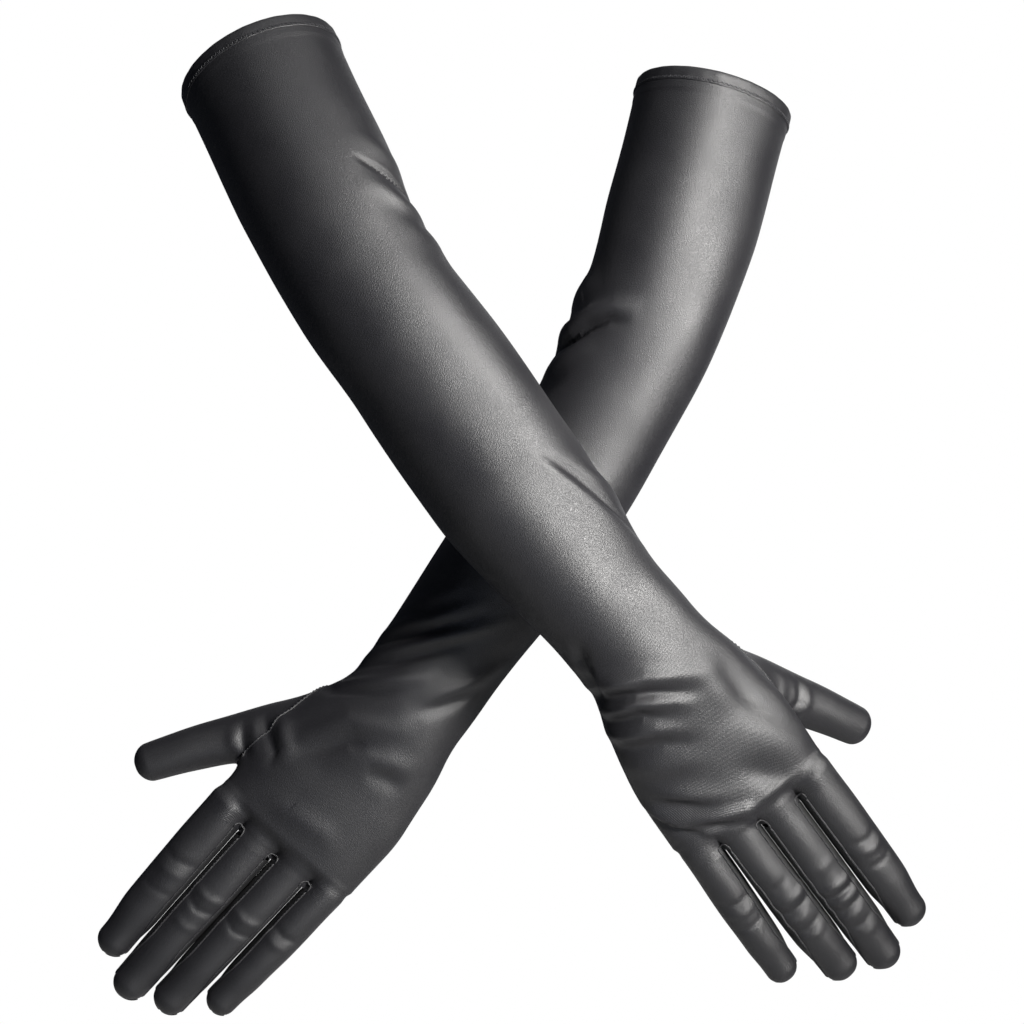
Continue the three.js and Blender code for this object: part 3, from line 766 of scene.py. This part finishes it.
def trim_hand(glove, skin):
    """Opens the hand at the sleeve and at the root of each finger."""
    limb = glove["limb"]
    edit = bmesh.new()
    edit.from_mesh(skin.data)
    spot = np.array([float(UPPER_END)])
    place = centre_at(limb, spot)[0]
    facing = -read(limb, "along", spot)[0]
    cut_away(edit, edit.faces[:], place, facing)
    for finger in glove["fingers"]:
        line = finger["limb"]
        cut = np.array([INSIDE_PALM + FINGER_CUT], float)
        centre = centre_at(line, cut)[0]
        along = read(line, "along", cut)[0]
        across = read(line, "across", cut)[0]
        reach = finger["base"] + 0.9
        chosen = []
        for face in edit.faces:
            offset = np.array(face.calc_center_median()) / MM - centre
            beside = abs(offset @ across) < reach and np.linalg.norm(offset) < 26
            if beside and -4 < offset @ along < 16:
                chosen.append(face)
        cut_away(edit, chosen, centre, along)
    edit.to_mesh(skin.data)
    edit.free()


def split_thumb(name, glove, skin):
    """The thumb is a piece of its own, set into the hand along its seam."""
    points = read_points(skin)
    ahead = finger_field(glove["thumb_limb"], points) < palm_field(glove, points)
    beyond = nearest_distance(glove["thumb_limb"]["limb"], points) > THUMB_FROM
    is_thumb = ahead & beyond
    pieces = []
    for label, keep_thumb in (("hand", False), ("thumb", True)):
        piece = skin.copy()
        piece.data = skin.data.copy()
        piece.name = f"{name}_{label}_cloth"
        bpy.context.scene.collection.objects.link(piece)
        edit = bmesh.new()
        edit.from_mesh(piece.data)
        edit.verts.ensure_lookup_table()
        gone = []
        for face in edit.faces:
            on_thumb = sum(is_thumb[v.index] for v in face.verts) * 2 > len(face.verts)
            if on_thumb != keep_thumb:
                gone.append(face)
        bmesh.ops.delete(edit, geom=gone, context="FACES")
        edit.to_mesh(piece.data)
        edit.free()
        pieces.append(piece)
    bpy.data.objects.remove(skin)
    pieces[0].name = f"{name}_hand_cloth"
    return pieces


def finish_skin(piece, limb, wall):
    count = len(piece.data.vertices)
    flat = np.empty(count * 3)
    piece.data.attributes["direction"].data.foreach_get("vector", flat)
    normals = unit(flat.reshape(-1, 3) + 1e-9)
    points = read_points(piece)
    distance = nearest_distance(limb, points)
    _, _, angle = tube_field(limb, points, distance)
    girth = girth_of(limb, distance)
    set_grain(piece, distance, angle * girth / (2 * math.pi), girth)
    piece.data.attributes.remove(piece.data.attributes["direction"])
    piece.data.polygons.foreach_set("use_smooth", [True] * len(piece.data.polygons))
    give_wall(piece, normals, wall)


def strip_width_at(share):
    """Half of the fourchette's width in degrees: full, then in to a point near the fingertip."""
    t = np.clip((share - 0.62) / 0.32, 0, 1)
    return STRIP_HALF * (1 - t * t * (3 - 2 * t)) + 3 * (share < STRIP_END)


def finger_columns(share):
    """Angles round a finger at one row, with a column on each seam."""
    half = math.radians(strip_width_at(share))
    right, left = math.pi / 2, 3 * math.pi / 2
    marks = [half - right, right - half, right + half, left - half, left + half]
    counts = [FRONT_COLUMNS, SIDE_COLUMNS] * 2
    parts = [np.linspace(marks[n], marks[n + 1], counts[n], endpoint=False) for n in range(4)]
    return np.concatenate(parts)


def make_finger_cloth(name, glove, finger):
    """A finger's cloth and, on the sides that meet a neighbour, its fourchettes."""
    limb = finger["limb"]
    start = INSIDE_PALM + FINGER_CUT - 0.6
    tip_from = limb["length"] - limb["cap"]
    body = np.linspace(start, tip_from, 88)
    tip = tip_from + limb["cap"] * np.sin(np.linspace(0, math.pi / 2, 15)[1:])
    tip[-1] = limb["length"] - 0.02
    distances = np.concatenate([body, tip])
    shares = (distances - INSIDE_PALM) / (limb["length"] - INSIDE_PALM)
    angles = np.stack([finger_columns(float(share)) for share in shares])
    columns = angles.shape[1]
    d = np.repeat(distances, columns)
    a = angles.ravel()
    start_points = limb_points(limb, d, a)
    points, normals = lay_on(finger_surface(glove, finger, start_points), start_points)
    tucked = d < start + 0.7
    points[tucked] -= normals[tucked] * 0.12
    faces = outwards(points, grid_faces(len(distances), columns), normals)
    row = np.repeat(np.arange(len(distances) - 1), columns)
    column = np.tile(np.arange(columns), len(distances) - 1)
    strip_rows = shares[row] < STRIP_END
    first_side = FRONT_COLUMNS + SIDE_COLUMNS
    side_of = np.zeros(len(row), int)
    side_of[(column >= FRONT_COLUMNS) & (column < first_side) & strip_rows] = 1
    side_of[(column >= FRONT_COLUMNS + first_side) & strip_rows] = -1
    girth = girth_of(limb, np.minimum(d, tip_from))
    round_it = a * girth / (2 * math.pi)
    made = {}
    labels = {0: "cloth", 1: "strip_thumbward", -1: "strip_outward"}
    for side in (0, *finger["strips"]):
        if side == 0:
            kept = np.isin(side_of, [0] + [s for s in (1, -1) if s not in finger["strips"]])
        else:
            kept = side_of == side
        index, inverse = np.unique(faces[kept], return_inverse=True)
        local_faces = [tuple(f) for f in inverse.reshape(-1, 4)]
        if side == 0:
            last = np.arange(len(points) - columns, len(points))
            order = np.searchsorted(index, last)
            ring = [int(k) for k in order]
            tip_normal = np.cross(points[last[1]] - points[last[0]], points[last[2]] - points[last[1]])
            along = read(limb, "along", np.array([limb["length"]]))[0]
            local_faces.append(tuple(ring if tip_normal @ along > 0 else ring[::-1]))
        piece = make_object(f"{name}_{finger['name']}_{labels[side]}", points[index], local_faces)
        set_grain(piece, d[index], round_it[index], girth[index])
        give_wall(piece, normals[index], CLOTH_WALL)
        made[side] = piece
    return made


def make_hem(name, glove):
    """The turned hem: the cloth folded over, a little proud of the sleeve, with a round fold."""
    limb = glove["limb"]
    profile = [
        (7.3, 0.0), (7.2, 0.2), (6.9, 0.34), (6.2, 0.34), (5.6, 0.26), (4.6, 0.34), (3.0, 0.38), (1.4, 0.36),
        (0.4, 0.26), (-0.1, 0.02), (-0.25, -0.35), (-0.1, -0.75), (0.5, -1.0), (1.6, -1.1), (4.0, -1.15),
        (6.6, -1.15), (7.1, -1.0), (7.0, -0.85),
    ]
    columns = 220
    angles = np.linspace(-math.pi, math.pi, columns, endpoint=False)
    d = np.repeat([p[0] for p in profile], columns)
    offset = np.repeat([p[1] for p in profile], columns)
    a = np.tile(angles, len(profile))
    at = np.maximum(d, 0)
    base, normals = lay_on(lambda spots: palm_field(glove, spots, at), limb_points(limb, at, a))
    ripple = 0.05 * np.sin(a * 31) + 0.05 * np.sin(a * 17 + 1)
    along = read(limb, "along", at)
    points = base + normals * (offset + ripple * (offset > 0))[:, None] + along * (d - at)[:, None]
    faces = grid_faces(len(profile), columns)
    last = (len(profile) - 1) * columns
    j = np.arange(columns)
    faces = np.vstack([faces, np.stack([last + j, last + (j + 1) % columns, (j + 1) % columns, j], 1)])
    piece = make_object(f"{name}_hem", points, faces)
    girth = girth_of(limb, at)
    set_grain(piece, d, a * girth / (2 * math.pi), girth)
    face_outwards(piece)
    return piece


# ---- threads and seams ----


def cord_mesh(name, path, radius, sides=8, closed=False):
    """A round cord along a path of points, with closed ends."""
    path = np.asarray(path, float)
    count = len(path)
    if closed:
        along = unit(np.roll(path, -1, 0) - np.roll(path, 1, 0))
    else:
        along = unit(np.gradient(path, axis=0))
    helper = np.array([0.3, 1.0, 0.2])
    u = unit(np.cross(along, helper))
    v = np.cross(along, u)
    angle = np.linspace(0, 2 * math.pi, sides, endpoint=False)
    ring = u[:, None] * np.cos(angle)[None, :, None] + v[:, None] * np.sin(angle)[None, :, None]
    size = np.full(count, radius)
    if not closed:
        size[0] = size[-1] = radius * 0.4
    points = (path[:, None] + ring * size[:, None, None]).reshape(-1, 3)
    faces = [tuple(f) for f in grid_faces(count, sides)]
    if closed:
        last = (count - 1) * sides
        faces += [(last + j, last + (j + 1) % sides, (j + 1) % sides, j) for j in range(sides)]
    else:
        faces.append(tuple(range(sides)))
        faces.append(tuple(reversed(range(len(points) - sides, len(points)))))
    piece = make_object(name, points, faces)
    face_outwards(piece)
    return piece


def stitches(name, starts, ends, normals, radius=0.22, arch=0.25, sides=5):
    """A row of stitches: each is one short arched thread from a start to an end."""
    points, faces = [], []
    for start, end, normal in zip(starts, ends, normals):
        along = unit(end - start)
        across = unit(np.cross(normal, along))
        first = len(points)
        for t, lift, size in ((0, -0.2, 0.6), (0.25, 0.7, 1), (0.75, 0.7, 1), (1, -0.2, 0.6)):
            centre = start + (end - start) * t + normal * (arch * lift)
            for n in range(sides):
                angle = 2 * math.pi * n / sides
                points.append(centre + (across * math.cos(angle) + normal * math.sin(angle)) * radius * size)
        for row in range(3):
            for n in range(sides):
                k = first + row * sides
                faces.append((k + n, k + sides + n, k + sides + (n + 1) % sides, k + (n + 1) % sides))
        faces.append(tuple(first + n for n in range(sides)))
        faces.append(tuple(first + 3 * sides + n for n in reversed(range(sides))))
    piece = make_object(name, points, faces)
    face_outwards(piece)
    return piece


def dashes(path, normals, length=1.5, gap=0.6):
    """Cuts a path into stitches: the places where each starts and ends."""
    run = np.concatenate([[0], np.cumsum(np.linalg.norm(np.diff(path, axis=0), axis=1))])
    at = np.arange(0.4, run[-1] - length, length + gap)
    take = lambda table, where: np.stack([np.interp(where, run, table[:, n]) for n in range(3)], 1)
    return take(path, at), take(path, at + length), unit(take(normals, at + length / 2))


def make_hem_stitches(name, glove):
    """Two rows of slanting stitches that hold the hem's fold."""
    limb = glove["limb"]
    count = 104
    starts, ends, facing = [], [], []
    for low, high, shift in ((5.3, 6.6, 0.0), (6.6, 5.3, 0.5)):
        angle = (np.arange(count) + shift) * 2 * math.pi / count
        for at, where, into in ((low, angle, starts), (high, angle + math.pi / count * 0.8, ends)):
            d = np.full(count, at)
            points, normals = lay_on(lambda spots: palm_field(glove, spots, d), limb_points(limb, d, where))
            into.append(points + normals * 0.36)
        facing.append(normals)
    rows = (np.vstack(part) for part in (starts, ends, facing))
    return stitches(f"{name}_hem_stitches", *rows, 0.24, 0.22)


def seam_on_sleeve(name, label, glove, start, end):
    limb = glove["limb"]
    d = np.arange(start, end, 2.0)
    a = np.full(len(d), math.radians(SEAM_ANGLE))
    points, normals = lay_on(lambda spots: palm_field(glove, spots, d), limb_points(limb, d, a))
    cord = cord_mesh(f"{name}_{label}", points - normals * 0.1, 0.36)
    starts, ends, facing = dashes(points + normals * 0.22, normals, 2.0, 0.9)
    sewn = stitches(f"{name}_{label}_stitches", starts, ends, facing, 0.15, 0.1)
    return cord, sewn


def seams_of_finger(glove, finger):
    """The rolled seam ridges along both edges of each fourchette, with their stitches."""
    limb = finger["limb"]
    length = limb["length"] - INSIDE_PALM
    paths = []
    for side in finger["strips"]:
        for edge in (-1, 1):
            shares = np.linspace(FINGER_CUT / length, 0.93, 70)
            half = np.radians(strip_width_at(shares))
            a = side * math.pi / 2 + edge * half
            d = INSIDE_PALM + shares * length
            start = limb_points(limb, d, a)
            points, normals = lay_on(finger_surface(glove, finger, start), start)
            paths.append((points, normals, side, edge))
    return paths


def join_objects(pieces, name):
    pick_only(pieces[0])
    for piece in pieces[1:]:
        piece.select_set(True)
    bpy.ops.object.join()
    pieces[0].name = name
    return pieces[0]


def crotch_paths(glove, ends):
    """The round end of the seam between two fingers, on the back and on the palm."""
    along, _, deep = hand_directions(glove)
    found = []
    for near, far in zip(glove["fingers"][:-1], glove["fingers"][1:]):
        for back in (True, False):
            a = ends[(near["name"], -1, back)]
            b = ends[(far["name"], 1, back)]
            t = np.linspace(0, 1, 22)[:, None]
            rest = 1 - t
            lift = deep * (-2.0 if back else 2.0)
            pull_a = a - along * 4.5 + lift
            pull_b = b - along * 4.5 + lift
            curve = a * rest**3 + 3 * pull_a * t * rest**2 + 3 * pull_b * t**2 * rest + b * t**3
            points, normals = lay_on(hand_surface(glove, curve), curve, 3)
            found.append((points, normals))
    return found


def thumb_seam_path(glove):
    """Where the thumb's cloth meets the palm's."""
    limb = glove["thumb_limb"]["limb"]
    path = []
    for angle in np.linspace(0, 2 * math.pi, 72, endpoint=False):
        d = np.arange(2, 60, 0.5)
        spots = limb_points(limb, d, np.full(len(d), angle))
        inside = np.nonzero(palm_field(glove, spots) < 0)[0]
        path.append(spots[inside[-1]] if len(inside) else spots[0])
    path = np.array(path)
    for _ in range(6):
        path = (np.roll(path, 1, 0) + 2 * path + np.roll(path, -1, 0)) / 4
    return lay_on(hand_surface(glove, path), path, 4)


# ---- finishes ----


def knit_group():
    """The knit's fine slanting grain and its speckle, from the cloth's own coordinates."""
    group = bpy.data.node_groups.new("knit grain", "ShaderNodeTree")
    for label in ("Fineness", "Slant"):
        group.interface.new_socket(name=label, in_out="INPUT", socket_type="NodeSocketFloat")
    for label in ("Height", "Speckle", "Patches"):
        group.interface.new_socket(name=label, in_out="OUTPUT", socket_type="NodeSocketFloat")
    nodes, links = group.nodes, group.links
    given = nodes.new("NodeGroupInput")
    out = nodes.new("NodeGroupOutput")
    place = nodes.new("ShaderNodeUVMap")
    place.uv_map = "knit"
    turn = nodes.new("ShaderNodeVectorRotate")
    turn.rotation_type = "Z_AXIS"
    links.new(place.outputs["UV"], turn.inputs["Vector"])
    links.new(given.outputs["Slant"], turn.inputs["Angle"])
    ribs = nodes.new("ShaderNodeTexWave")
    ribs.wave_type = "BANDS"
    ribs.bands_direction = "X"
    ribs.inputs["Distortion"].default_value = 1.2
    ribs.inputs["Detail"].default_value = 2
    ribs.inputs["Detail Scale"].default_value = 2
    links.new(turn.outputs["Vector"], ribs.inputs["Vector"])
    links.new(given.outputs["Fineness"], ribs.inputs["Scale"])
    speck = nodes.new("ShaderNodeTexNoise")
    speck.inputs["Scale"].default_value = 1900
    speck.inputs["Detail"].default_value = 1
    speck.inputs["Roughness"].default_value = 0.65
    links.new(turn.outputs["Vector"], speck.inputs["Vector"])
    mix = nodes.new("ShaderNodeMath")
    mix.operation = "MULTIPLY_ADD"
    mix.inputs[1].default_value = 0.3
    links.new(ribs.outputs["Fac"], mix.inputs[0])
    links.new(speck.outputs["Fac"], mix.inputs[2])
    patches = nodes.new("ShaderNodeTexNoise")
    patches.inputs["Scale"].default_value = 38
    patches.inputs["Detail"].default_value = 3
    links.new(place.outputs["UV"], patches.inputs["Vector"])
    links.new(mix.outputs[0], out.inputs["Height"])
    links.new(speck.outputs["Fac"], out.inputs["Speckle"])
    links.new(patches.outputs["Fac"], out.inputs["Patches"])
    return group


def new_material(name):
    material = bpy.data.materials.new(name)
    material.use_nodes = True
    nodes, links = material.node_tree.nodes, material.node_tree.links
    return material, nodes, links, nodes["Principled BSDF"]


def make_knit(name, low, high, roughness, sheen, grain):
    """Black stretch knit with a satin face."""
    material, nodes, links, shader = new_material(name)
    group = nodes.new("ShaderNodeGroup")
    group.node_tree = grain
    group.inputs["Fineness"].default_value = 640
    group.inputs["Slant"].default_value = 0.6
    tone = nodes.new("ShaderNodeMix")
    tone.data_type = "RGBA"
    tone.inputs["A"].default_value = (*low, 1)
    tone.inputs["B"].default_value = (*high, 1)
    flecks = nodes.new("ShaderNodeMapRange")
    flecks.inputs["From Min"].default_value = 0.38
    flecks.inputs["From Max"].default_value = 0.66
    links.new(group.outputs["Speckle"], flecks.inputs["Value"])
    links.new(flecks.outputs["Result"], tone.inputs["Factor"])
    links.new(tone.outputs["Result"], shader.inputs["Base Color"])
    rough = nodes.new("ShaderNodeMapRange")
    rough.inputs["From Min"].default_value = 0.3
    rough.inputs["From Max"].default_value = 0.7
    rough.inputs["To Min"].default_value = roughness - 0.05
    rough.inputs["To Max"].default_value = roughness + 0.05
    links.new(group.outputs["Patches"], rough.inputs["Value"])
    links.new(rough.outputs["Result"], shader.inputs["Roughness"])
    relief = nodes.new("ShaderNodeBump")
    relief.inputs["Strength"].default_value = 0.35
    relief.inputs["Distance"].default_value = 0.0006
    links.new(group.outputs["Height"], relief.inputs["Height"])
    links.new(relief.outputs["Normal"], shader.inputs["Normal"])
    shader.inputs["Specular IOR Level"].default_value = 0.85
    shader.inputs["Sheen Weight"].default_value = sheen
    shader.inputs["Sheen Roughness"].default_value = 0.5
    shader.inputs["Sheen Tint"].default_value = (0.93, 0.92, 1.0, 1)
    return material


def make_thread(name):
    """Spun sewing thread: twisted, so its tone changes along it."""
    material, nodes, links, shader = new_material(name)
    place = nodes.new("ShaderNodeTexCoord")
    twist = nodes.new("ShaderNodeTexWave")
    twist.inputs["Scale"].default_value = 900
    twist.inputs["Distortion"].default_value = 2
    links.new(place.outputs["Object"], twist.inputs["Vector"])
    tone = nodes.new("ShaderNodeMix")
    tone.data_type = "RGBA"
    tone.inputs["A"].default_value = (0.014, 0.014, 0.016, 1)
    tone.inputs["B"].default_value = (0.05, 0.05, 0.056, 1)
    links.new(twist.outputs["Fac"], tone.inputs["Factor"])
    links.new(tone.outputs["Result"], shader.inputs["Base Color"])
    relief = nodes.new("ShaderNodeBump")
    relief.inputs["Strength"].default_value = 0.4
    relief.inputs["Distance"].default_value = 0.0001
    links.new(twist.outputs["Fac"], relief.inputs["Height"])
    links.new(relief.outputs["Normal"], shader.inputs["Normal"])
    shader.inputs["Roughness"].default_value = 0.5
    return material


def dress(piece, material):
    piece.data.materials.clear()
    piece.data.materials.append(material)


def dress_seam(piece):
    """A seam's ridge is a roll of the cloth itself."""
    piece.data.uv_layers.new(name="knit")
    dress(piece, BLACK_KNIT)


# ---- the two gloves ----

grain = knit_group()
KNIT_DARK, KNIT_LIGHT = (0.0008, 0.0008, 0.0015), (0.013, 0.0125, 0.0155)
# The fourchettes' knit is the same cloth with a darker base colour: painted shade between the fingers.
SHADED_STRIP_DARK, SHADED_STRIP_LIGHT = (0.001, 0.001, 0.0014), (0.007, 0.007, 0.008)
BLACK_KNIT = make_knit("black satin knit", KNIT_DARK, KNIT_LIGHT, 0.47, 0.03, grain)
SHADED_STRIP_KNIT = make_knit("shaded fourchette knit", SHADED_STRIP_DARK, SHADED_STRIP_LIGHT, 0.55, 0.0, grain)
SEWING_THREAD = make_thread("sewing thread")


def make_fingers(name, glove):
    ends = {}
    for finger in glove["fingers"]:
        label = finger["name"]
        made = make_finger_cloth(name, glove, finger)
        seams, sewn = [], []
        for n, (points, normals, side, edge) in enumerate(seams_of_finger(glove, finger)):
            back = (edge < 0) == (side > 0)
            ends[(label, side, back)] = points[0]
            seams.append(cord_mesh(f"seam_{n}", points + normals * 0.12, 0.42))
            sewn.append(stitches(f"sewn_{n}", *dashes((points + normals * 0.5)[:52], normals[:52]), 0.16))
        seam = join_objects(seams, f"{name}_{label}_seams")
        thread = join_objects(sewn, f"{name}_{label}_seam_stitches")
        dress_seam(seam)
        dress(thread, SEWING_THREAD)
        dress(made[0], BLACK_KNIT)
        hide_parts(f"{name}_{label}_finger")
        for side in finger["strips"]:
            facing = "thumbward" if side > 0 else "outward"
            # painted shade: the fourchettes between the fingers get the darker copy of the knit
            dress(made[side], SHADED_STRIP_KNIT)
            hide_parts(f"{name}_{label}_fourchette_{facing}")
        for piece in (*made.values(), seam, thread):
            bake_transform(piece)
    return ends


def make_glove(name, glove):
    glove["limb"] = make_sleeve(name, glove)
    glove["fingers"] = [make_finger_limb(name, glove, k) for k in range(4)]
    press_together(glove["fingers"])
    glove["thumb_limb"] = make_thumb_limb(name, glove)
    limb = glove["limb"]
    thumb_line = glove["thumb_limb"]["limb"]
    upper, fore, palm = f"{name}_upper_arm", f"{name}_forearm", f"{name}_palm"

    sleeve = make_sleeve_cloth(name, glove)
    hem = make_hem(name, glove)
    hem_stitches = make_hem_stitches(name, glove)
    dress(sleeve, BLACK_KNIT)
    dress(hem, BLACK_KNIT)
    dress(hem_stitches, SEWING_THREAD)
    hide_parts(f"{name}_upper_sleeve", f"{name}_elbow_bend", f"{name}_forearm_sleeve")
    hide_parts(f"{name}_hem_band")
    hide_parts(f"{name}_hem_thread")
    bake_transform(sleeve)
    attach(hem, upper)
    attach(hem_stitches, upper)

    skin = start_hand(name, glove)
    trim_hand(glove, skin)
    hand, thumb = split_thumb(name, glove, skin)
    finish_skin(hand, limb, CLOTH_WALL)
    finish_skin(thumb, thumb_line, CLOTH_WALL)
    for piece in (hand, thumb):
        dress(piece, BLACK_KNIT)
    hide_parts(f"{name}_wrist_bend", f"{name}_hand", *[f"{name}_{f[0]}_root" for f in FINGERS])
    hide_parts(f"{name}_thumb_base", f"{name}_thumb_root", f"{name}_thumb")
    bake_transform(hand)
    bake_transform(thumb)

    ends = make_fingers(name, glove)
    rims = []
    for n, (points, normals) in enumerate(crotch_paths(glove, ends)):
        rims.append(cord_mesh(f"rim_{n}", points + normals * 0.12, 0.45))
    rim = join_objects(rims, f"{name}_crotch_seams")
    dress_seam(rim)
    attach(rim, palm)

    points, normals = thumb_seam_path(glove)
    thumb_seam = cord_mesh(f"{name}_thumb_seam", points + normals * 0.05, 0.45, closed=True)
    dress_seam(thumb_seam)
    loop, facing = np.vstack([points, points[:1]]), np.vstack([normals, normals[:1]])
    sewn_at = dashes(loop + facing * 0.45, facing)
    thumb_stitches = stitches(f"{name}_thumb_seam_stitches", *sewn_at, 0.18)
    dress(thumb_stitches, SEWING_THREAD)
    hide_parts(f"{name}_thumb_seam")
    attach(thumb_seam, palm)
    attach(thumb_stitches, palm)

    seam, sewn = seam_on_sleeve(name, "side_seam_upper", glove, HEM_DEPTH + 1.5, UPPER_END)
    seam_end = glove["wrist"] + 70
    low_seam, low_sewn = seam_on_sleeve(name, "side_seam_wrist", glove, UPPER_END, seam_end)
    for piece in (seam, low_seam):
        dress_seam(piece)
    for piece in (sewn, low_sewn):
        dress(piece, SEWING_THREAD)
    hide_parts(f"{name}_side_seam_upper")
    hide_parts(f"{name}_side_seam_forearm")
    for piece in (seam, sewn):
        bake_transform(piece)
    for piece in (low_seam, low_sewn):
        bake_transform(piece)


for glove_name, glove_facts in GLOVES.items():
    make_glove(glove_name, glove_facts)

# ---- floor, light and sky ----


def plain_material(name, colour, roughness):
    material, _, _, shader = new_material(name)
    shader.inputs["Base Color"].default_value = (*colour, 1)
    shader.inputs["Roughness"].default_value = roughness
    return material


def make_floor():
    bpy.ops.object.select_all(action="DESELECT")
    bpy.ops.mesh.primitive_circle_add(vertices=96, radius=0.6, fill_type="NGON", location=(0, 0, -0.645))
    floor = bpy.context.object
    floor.name = "floor"
    bpy.ops.object.transform_apply(location=True)
    floor.data.materials.append(plain_material("pale floor", (0.86, 0.86, 0.86), 0.6))


def place_light(data, place, aim):
    light = bpy.data.objects.new(data.name, data)
    light.location = place
    light.rotation_euler = (Vector(aim) - Vector(place)).to_track_quat("-Z", "Y").to_euler()
    bpy.context.scene.collection.objects.link(light)


def make_light(name, place, aim, size, power, colour=(1, 1, 1)):
    data = bpy.data.lights.new(name, "AREA")
    data.shape = "RECTANGLE"
    data.size, data.size_y = size
    data.energy = power
    data.color = colour
    place_light(data, place, aim)


def make_spot(name, place, aim, power):
    """A soft pool of light on the forearms."""
    data = bpy.data.lights.new(name, "SPOT")
    data.energy = power
    data.spot_size = math.radians(38)
    data.spot_blend = 1
    data.shadow_soft_size = 0.2
    data.color = (1.0, 0.985, 0.96)
    place_light(data, place, aim)


def make_sky():
    """White to look at, and dim grey to light the cloth by."""
    world = bpy.data.worlds.new("studio")
    bpy.context.scene.world = world
    world.use_nodes = True
    nodes, links = world.node_tree.nodes, world.node_tree.links
    nodes.clear()
    out = nodes.new("ShaderNodeOutputWorld")
    seen = nodes.new("ShaderNodeBackground")
    seen.inputs["Color"].default_value = (1, 1, 1, 1)
    dim = nodes.new("ShaderNodeBackground")
    dim.inputs["Color"].default_value = (0.7, 0.78, 1.0, 1)
    dim.inputs["Strength"].default_value = 0.03
    choose = nodes.new("ShaderNodeMixShader")
    path = nodes.new("ShaderNodeLightPath")
    links.new(path.outputs["Is Camera Ray"], choose.inputs["Fac"])
    links.new(dim.outputs[0], choose.inputs[1])
    links.new(seen.outputs[0], choose.inputs[2])
    links.new(choose.outputs[0], out.inputs["Surface"])


make_floor()
make_spot("pool", (0.75, -0.85, 0.1), (0.055, 0, -0.17), 150)
make_light("key", (0.8, -0.8, 0.05), (0.05, 0, -0.2), (0.5, 0.55), 9, (1.0, 0.985, 0.96))
make_light("top", (0.1, -0.5, 1.1), (0, 0, -0.2), (0.8, 0.6), 4)
make_light("fill", (0.1, -1.6, -0.5), (0, 0, -0.35), (0.7, 0.7), 1.2, (0.62, 0.74, 1.0))
make_light("back", (0.5, 1.4, 0.2), (0, 0, -0.2), (1.2, 1.0), 3)
make_sky()

scene = bpy.context.scene
scene.view_settings.view_transform = "Standard"
scene.view_settings.look = "None"
